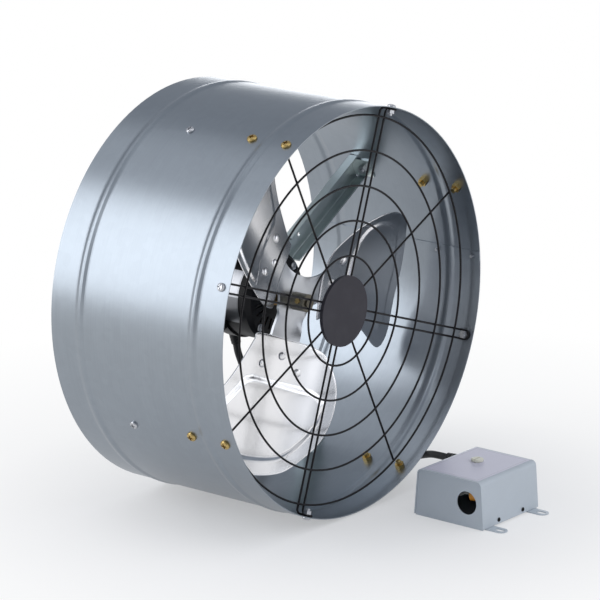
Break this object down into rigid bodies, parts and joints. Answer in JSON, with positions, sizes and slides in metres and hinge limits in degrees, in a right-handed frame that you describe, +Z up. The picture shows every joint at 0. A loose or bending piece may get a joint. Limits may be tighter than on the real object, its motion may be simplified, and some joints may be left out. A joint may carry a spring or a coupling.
{
  "type": "gable attic fan",
  "caption": "Round sheet-steel attic exhaust fan: drum, wire guard, sheet-metal propeller on a four-arm motor mount, and a thermostat box on a short lead.",
  "frame": {"origin": "middle of the footprint of drum and box on the floor, straight under the drum's axis", "axes": "+Z up, drum axis along Y with the guard side facing -Y, thermostat box in front at +X"},
  "size_m": [0.3894, 0.385, 0.3894],
  "materials": {
    "housing_steel": "galvanised sheet, blue-grey, satin",
    "arm_steel": "galvanised sheet, satin",
    "zinc": "zinc plate",
    "yellow_zinc": "yellow zinc plate",
    "guard_black": "black, satin",
    "disc_black": "dark purplish grey, satin",
    "motor_black": "black, satin",
    "bare_steel": "machined",
    "lamination": "stacked laminations",
    "copper": "varnished copper wire",
    "bronze": "oil-filled bronze",
    "fibre": "hard fibre",
    "plate_silver": "bare, brushed",
    "blade_aluminium": "bright rolled sheet",
    "spider_steel": "zinc plate",
    "collar_steel": "oiled",
    "box_steel": "blue-grey, satin",
    "label_film": "bare pale lavender film",
    "switch_plastic": "moulded",
    "dial_plastic": "cream, moulded",
    "connector_plastic": "orange, moulded",
    "wire_plastic": "white insulation",
    "black_rubber": "matt black",
    "screw_black": "black oxide"
  },
  "bodies": {
    "fan_frame": {"housing": "housing_steel", "seam_screws": "zinc", "guard_rings": "guard_black", "guard_hairpins": "guard_black", "guard_spokes": "guard_black", "guard_disc": "disc_black", "guard_screws": "zinc", "guard_nuts": "zinc", "bracket_bolts": "yellow_zinc", "bracket_nuts": "yellow_zinc", "motor_arm_1": "arm_steel", "motor_arm_2": "arm_steel", "motor_arm_3": "arm_steel", "motor_arm_4": "arm_steel", "arm_screws": "zinc", "arm_nuts": "zinc", "mount_band": "motor_black", "band_screw": "zinc", "band_nut": "zinc", "motor_shell": "motor_black", "front_end_bell": "motor_black", "rear_end_bell": "motor_black", "through_bolts": "zinc", "through_bolt_nuts": "zinc", "stator_core": "lamination", "stator_windings": "copper", "front_bearing": "bronze", "rear_bearing": "bronze", "nameplate": "plate_silver", "box_base": "box_steel", "box_cover": "box_steel", "cover_screws": "screw_black", "cover_label": "label_film", "thermostat_switch": "switch_plastic", "wire_connectors": "connector_plastic", "box_wires": "wire_plastic", "box_strain_relief": "black_rubber", "motor_strain_relief": "black_rubber", "motor_lead": "black_rubber"},
    "propeller": {"hub_collar": "collar_steel", "hub_set_screw": "yellow_zinc", "spider_plate": "spider_steel", "blade_1": "blade_aluminium", "blade_2": "blade_aluminium", "blade_3": "blade_aluminium", "blade_rivets": "blade_aluminium", "motor_shaft": "bare_steel", "rotor": "lamination", "thrust_washers": "fibre"},
    "dial": {"thermostat_dial": "dial_plastic"}
  },
  "joints": [
    {"name": "fan_spin", "type": "hinge", "parent": "fan_frame", "child": "propeller", "pos_m": [0, 0.02, 0.1947], "axis": [0, 1, 0], "continuous": true},
    {"name": "dial_turn", "type": "hinge", "parent": "fan_frame", "child": "dial", "pos_m": [0.086, -0.1085, 0.047], "axis": [0, 0, 1], "range_deg": [-135, 135]}
  ]
}
